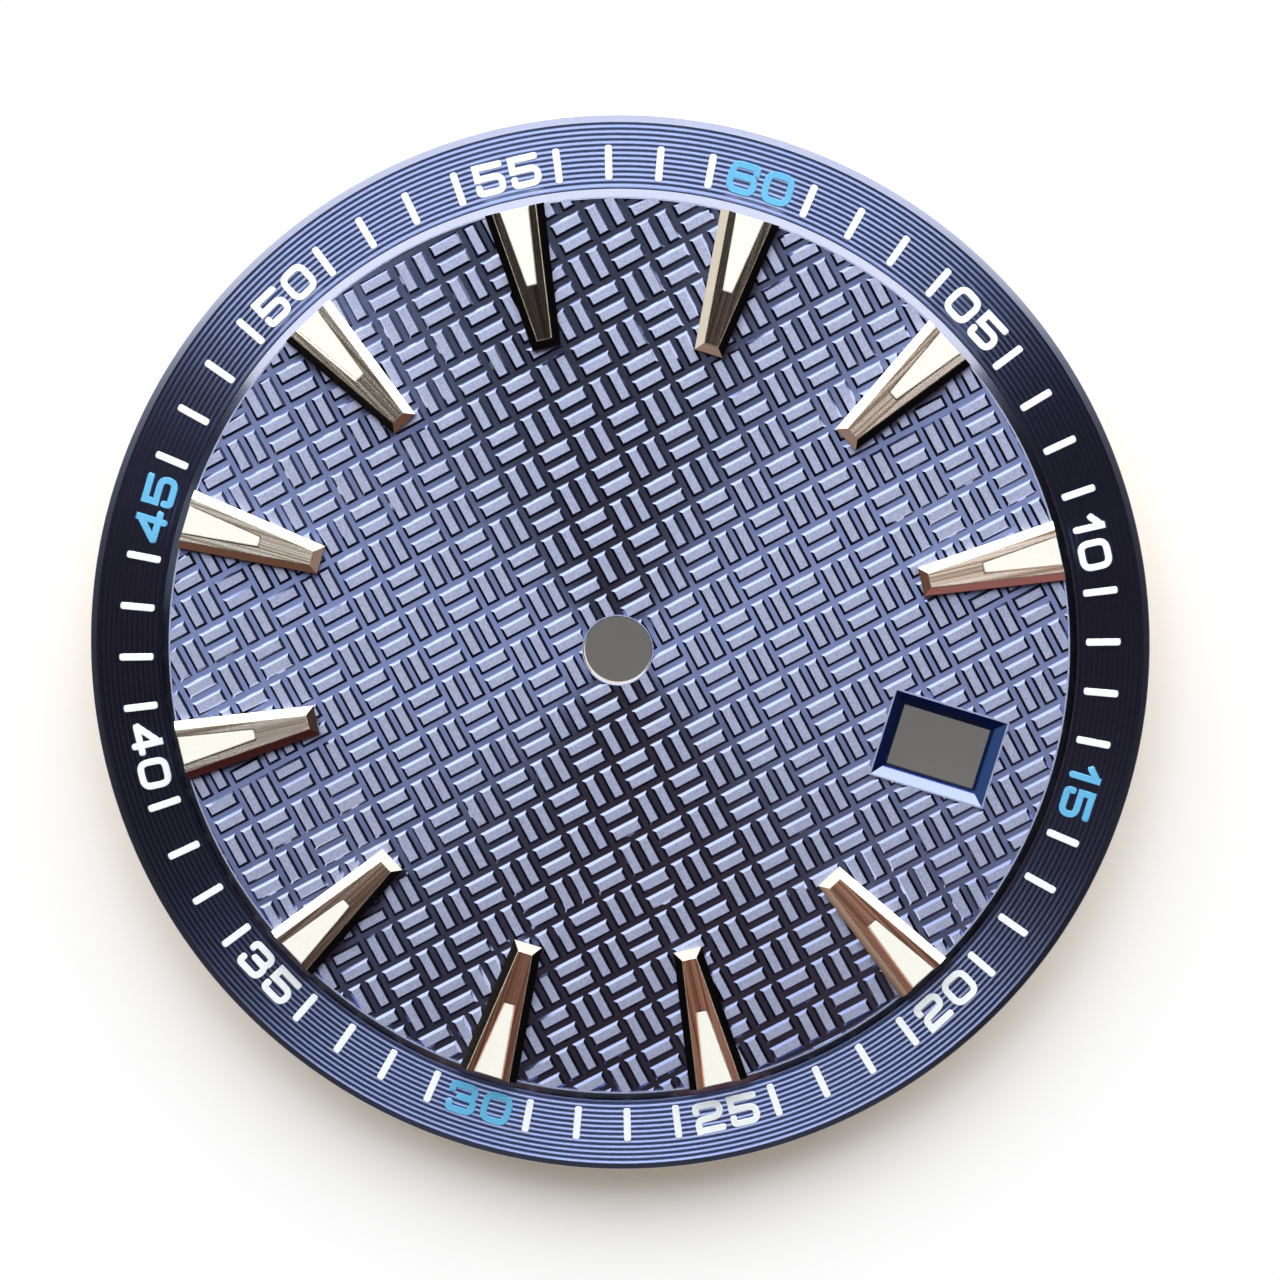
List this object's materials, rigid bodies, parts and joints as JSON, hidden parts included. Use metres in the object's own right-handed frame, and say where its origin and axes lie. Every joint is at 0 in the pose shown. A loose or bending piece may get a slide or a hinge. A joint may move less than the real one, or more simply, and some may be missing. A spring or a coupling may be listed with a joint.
{
  "type": "watch dial",
  "caption": "Round watch dial with a raised patterned centre, a grooved minute ring, applied wedge hour markers with luminous inlays, a date window and two feet on the back.",
  "frame": {"origin": "centre of the centre hole, on the plate's back face, which seats on the movement", "axes": "+Z out of the dial's front towards the viewer, +Y to 12 o'clock, +X to 3 o'clock"},
  "size_m": [0.0318, 0.0318, 0.003],
  "materials": {
    "dial_blue": "galvanic blue over sunburst-brushed stamped brass",
    "track_blue": "galvanic blue over concentric-turned brass",
    "marker_steel": "diamond-cut, mirror-polished plating",
    "lume": "luminous paint, warm white, fine-grained matt",
    "foot_copper": "drawn copper, lightly dulled"
  },
  "bodies": {
    "root": {"dial_plate": "dial_blue", "minute_track_ring": "track_blue", "hour_marker_01": "marker_steel", "hour_marker_02": "marker_steel", "hour_marker_04": "marker_steel", "hour_marker_05": "marker_steel", "hour_marker_06": "marker_steel", "hour_marker_07": "marker_steel", "hour_marker_08": "marker_steel", "hour_marker_09": "marker_steel", "hour_marker_10": "marker_steel", "hour_marker_11": "marker_steel", "hour_marker_12": "marker_steel", "lume_inlay_01": "lume", "lume_inlay_02": "lume", "lume_inlay_04": "lume", "lume_inlay_05": "lume", "lume_inlay_06": "lume", "lume_inlay_07": "lume", "lume_inlay_08": "lume", "lume_inlay_09": "lume", "lume_inlay_10": "lume", "lume_inlay_11": "lume", "lume_inlay_12": "lume", "dial_foot_1": "foot_copper", "dial_foot_2": "foot_copper"}
  },
  "joints": []
}
